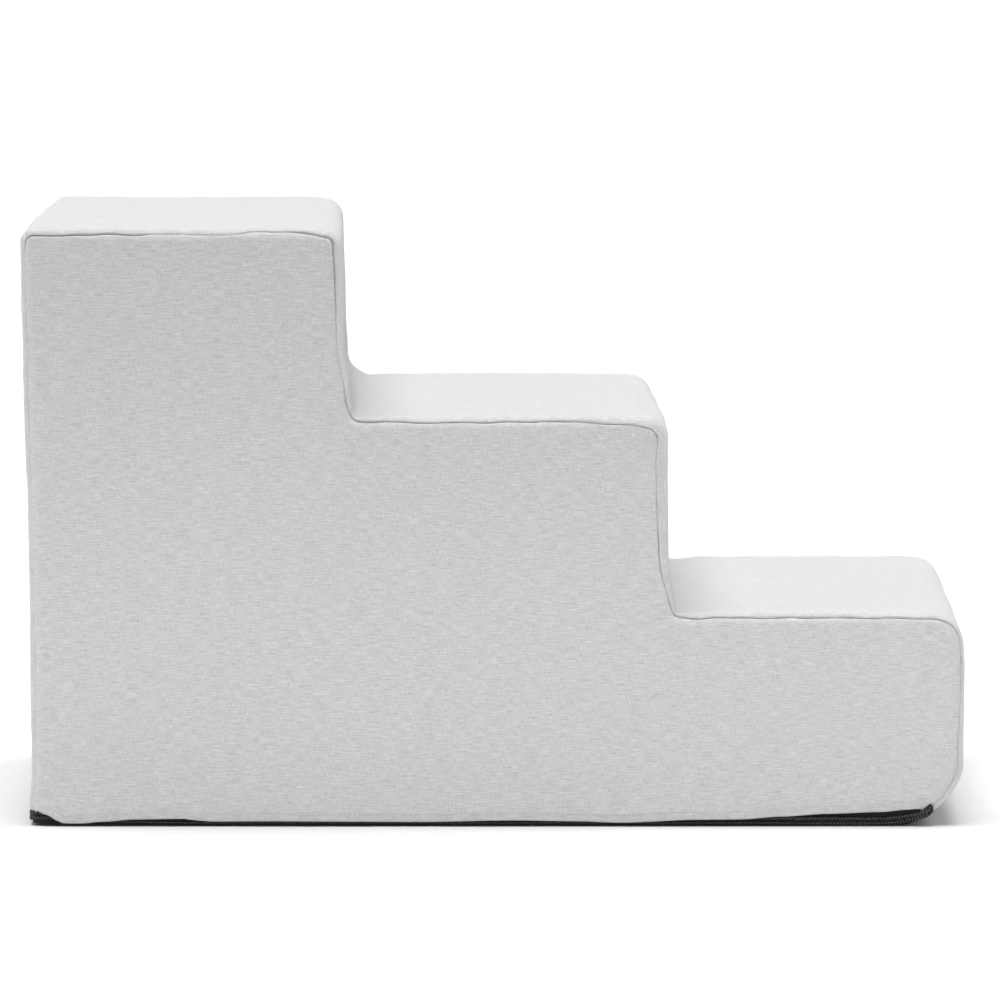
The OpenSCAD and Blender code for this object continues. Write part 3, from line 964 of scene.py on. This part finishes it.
def coil_row(name, side, node):
    """Flattened helix along the zip: across the row it swings from the outer edge to the head, in depth
    it swings between the tape and the outer face, and a round wire is carried along it."""
    turns = int(zip_length / coil_pitch) - 1
    theta = np.arange(turns * 8 + 1) * (2 * math.pi / 8)
    d = (theta / (2 * math.pi) + (0.5 if side < 0 else 0) + 0.25) * coil_pitch
    head = ease(d, (at_bend_2 - 20 * mm, -0.25 * mm), (at_far, 0.42 * mm)) + wire_r
    outer = coil_half - wire_r
    c, s = np.cos(theta), np.sin(theta)
    across = (outer + head) / 2 + (outer - head) / 2 * np.sign(c) * np.abs(c) ** 0.6
    centre_in = 1.1 * mm
    inward = centre_in - (centre_in - wire_r) * np.sign(s) * np.abs(s) ** 0.8
    path = on_zip(d, inward, side * across)
    ahead = np.gradient(path, axis=0)
    ahead /= np.linalg.norm(ahead, axis=1)[:, None]
    spoke = path - on_zip(d, centre_in, side * (outer + head) / 2)
    spoke -= (spoke * ahead).sum(1)[:, None] * ahead
    spoke /= np.linalg.norm(spoke, axis=1)[:, None]
    around = np.linspace(0, 2 * math.pi, 7)[:-1, None]
    points = path[:, None] + wire_r * (np.cos(around) * spoke[:, None]
                                       + np.sin(around) * np.cross(ahead, spoke)[:, None])
    row = fit(closed_tube(name, points), coil_material)
    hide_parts(node)


coil_material, tree = new_material("nylon_coil", 0.2, Specular_IOR_Level=1.0)
rub = speckle(tree, 900.0, 3.0)
finish_material(tree, ramp(tree, rub, (0.3, (0.014, 0.014, 0.015)), (0.7, (0.045, 0.045, 0.047))),
                rub, 0.00005)
coil_row("zip_upper_coil_wire", 1, "zip_upper_coil")
coil_row("zip_lower_coil_wire", -1, "zip_lower_coil")


# ---- Stitching --------------------------------------------------------------------------------------
# Lockstitch in grey thread that holds the hem on the upper tape, black bar tacks that close off both
# ends of the zip, and the cut thread tail left beside the near one.
def thread_material(name, dark, light):
    """Twisted thread: diagonal bands between a dark and a light colour."""
    material, tree = new_material(name, 0.7, Specular_IOR_Level=0.3, Sheen_Weight=0.2)
    place = add(tree, "ShaderNodeTexCoord").outputs["Object"]
    twist = add(tree, "ShaderNodeTexWave", (("Vector", place), ("Scale", 900.0), ("Distortion", 2.0)),
                bands_direction="DIAGONAL").outputs["Fac"]
    finish_material(tree, ramp(tree, twist, (0.2, dark), (0.8, light)), twist, 0.0001)
    return material


def stitches(name, start, end, out, radius, material, slot):
    """Short threads from start to end that arch up by radius along out, each a six-sided tapered tube."""
    along = np.linspace(0, 1, 7)[None, :, None]
    arch = np.sin(np.linspace(0, math.pi, 7))[None, :, None]
    spine = start[:, None] + (end - start)[:, None] * along + out[:, None] * (radius * (arch * 1.5 - 0.8))
    ahead = end - start
    ahead /= np.linalg.norm(ahead, axis=1)[:, None]
    sideways = np.cross(ahead, out)
    around = np.linspace(0, 2 * math.pi, 7)[:-1]
    taper = radius * np.array([0.55, 0.9, 1, 1, 1, 0.9, 0.55])[:, None, None]
    ring = np.cos(around)[:, None] * out[:, None, None] + np.sin(around)[:, None] * sideways[:, None, None]
    points = spine[:, :, None] + taper * ring
    base = (np.arange(len(start)) * 42)[:, None, None]
    caps = np.stack([np.arange(6), np.arange(36, 42)[::-1]])
    piece = put_mesh(name, points.reshape(-1, 3), [(tube_faces(7, 6)[:, other_way] + base).reshape(-1, 4),
                                                   (caps + base).reshape(-1, 6)])
    return fit(piece, material)


grey_material = thread_material("grey_sewing_thread", (0.42, 0.42, 0.43), (0.62, 0.62, 0.63))
black_thread = thread_material("black_sewing_thread", (0.006, 0.006, 0.007), (0.03, 0.03, 0.032))
stitch_len, stitch_gap, stitch_up = 2.6 * mm, 0.7 * mm, 5.2 * mm
stitch_step = stitch_len + stitch_gap


def panel_face(panel, a, z, axis):
    """How far a panel's outer face lies from the middle plane square to axis, at places a along it and
    heights z: the mean of its nearby points, weighted by one over distance to the fourth power."""
    points = np.empty(len(panel.data.vertices) * 3)
    panel.data.vertices.foreach_get("co", points)
    points = points.reshape(-1, 3)
    points = points[np.abs(points[:, 2] - stitch_up) < 25 * mm]
    depth = np.abs(points[:, axis])
    gap = (points[:, 1 - axis] - a[:, None]) ** 2 + (points[:, 2] - z[:, None]) ** 2
    nearby = gap < (6 * mm) ** 2
    outermost = np.where(nearby, depth, 0).max(1, keepdims=True) - 2.1 * mm
    weight = (nearby & (depth > outermost)) / (gap + (0.4 * mm) ** 2) ** 2
    return (depth * weight).sum(1) / weight.sum(1)


runs = []
for panel, lip, side, first, last in (
        (near_panel, near_lip, -1, -292, 276), (far_panel, far_lip, 1, -292, 284),
        (back_cloth, None, -1, -188, 186)):
    axis = 1 if lip else 0
    a0 = np.arange(first * mm, last * mm, stitch_step)
    ends = []
    for a in (a0, a0 + stitch_len):
        z = (lip(a) if lip else hem_z + 0 * a) + stitch_up
        place = [a, side * panel_face(panel, a, z, axis)]
        ends.append(np.stack([*(place if lip else place[::-1]), z], 1))
    runs.append((*ends, np.repeat(side * np.eye(3)[None, axis], len(a0), 0)))
stitches("hem_stitches", *(np.concatenate(part) for part in zip(*runs)), 0.22 * mm,
                        grey_material, "grey_thread")

tacks = []
for far in (0, 1):
    thread = np.arange(7)
    d = zip_length * far + (thread - 3) * 0.32 * mm + (0.8 if far else -0.6) * mm
    reach = coil_half + (0.2 if far else -0.7) * mm - 0.25 * mm * (thread % 2)
    tacks.append((on_zip(d, 1.3 * mm, -reach), on_zip(d + 0.1 * mm, 1.3 * mm, reach),
                  np.repeat([[0.0, 1.0 if far else -1.0, 0.0]], 7, 0)))
bar_tacks = stitches("zip_bar_tacks", *(np.concatenate(part) for part in zip(*tacks)), 0.30 * mm,
                     black_thread, "black_thread")
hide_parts("zip_end_tacks")

tail_rng = np.random.default_rng(8)
tail_root = on_zip(np.full(9, 0.4 * mm), 0.6 * mm, 2.2 * mm)
tail_tip = tail_root + np.stack([tail_rng.uniform(-2.5, 2.5, 9), tail_rng.uniform(-1.6, -0.4, 9),
                                 tail_rng.uniform(-1.5, 3.2, 9)], 1) * mm
stitches("zip_thread_tail", tail_root, tail_tip, np.repeat([[0.0, -1.0, 0.0]], 9, 0), 0.13 * mm,
                       black_thread, "black_thread")


# ---- Slider and pull tab ----------------------------------------------------------------------------
# Die-cast zinc in black enamel: the slider closes the two rows together and its bridge holds the pull
# tab. Cast edges are slightly rounded and rubbed down to the metal.
wear = bpy.data.node_groups.new("rubbed_edges", "ShaderNodeTree")
wear.interface.new_socket("Reach", in_out="INPUT", socket_type="NodeSocketFloat")
wear.interface.new_socket("Rubbed", in_out="OUTPUT", socket_type="NodeSocketFloat")
given = add(wear, "NodeGroupInput").outputs
edge = add(wear, "ShaderNodeBevel", (("Radius", given["Reach"]),), samples=4)
true_face = add(wear, "ShaderNodeNewGeometry").outputs["Normal"]
sameness = add(wear, "ShaderNodeVectorMath", ((0, edge.outputs["Normal"]), (1, true_face)),
               operation="DOT_PRODUCT")
bare = maths(wear, "MULTIPLY", maths(wear, "SUBTRACT", 1.0, sameness.outputs["Value"]), 6.0)
bare = maths(wear, "MULTIPLY", bare, speckle(wear, 700.0, 4.0), clamp=True)
add(wear, "NodeGroupOutput", (("Rubbed", bare),))

enamel_material, tree = new_material("black_enamel", 0.32, Specular_IOR_Level=0.5, Coat_Weight=0.3,
                                     Coat_Roughness=0.2)
cast_skin = speckle(tree, 1500.0, 3.0)
rubbed = add(tree, "ShaderNodeGroup", node_tree=wear)
rubbed.inputs["Reach"].default_value = 0.00025
finish_material(tree, ramp(tree, rubbed.outputs["Rubbed"], (0.15, (0.014, 0.014, 0.016)),
                           (0.8, (0.20, 0.20, 0.21))), cast_skin, 0.00004)
tree.links.new(ramp(tree, cast_skin, (0.3, (0.26,) * 3), (0.7, (0.42,) * 3)),
               tree.nodes["Principled BSDF"].inputs["Roughness"])


def cast_piece(name, node, body, round_r):
    """Copy of the CAD solid, merged, with its sharp edges rounded."""
    mesh = bpy.data.objects[node].data.copy()
    mesh.name = name
    piece = bpy.data.objects.new(name, mesh)
    bpy.context.scene.collection.objects.link(piece)
    mesh.materials.clear()
    mesh.materials.append(enamel_material)
    weld = piece.modifiers.new("weld", "WELD")
    weld.merge_threshold = 0.00001
    soft = piece.modifiers.new("edges", "BEVEL")
    soft.width = round_r
    soft.segments = 3
    soft.limit_method = "ANGLE"
    soft.angle_limit = math.radians(40)
    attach(piece, body)
    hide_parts(node)


cast_piece("zip_slider_cast", "slider_body", "zip_slider", 0.18 * mm)
cast_piece("zip_pull_tab_cast", "pull_tab", "zip_pull", 0.22 * mm)
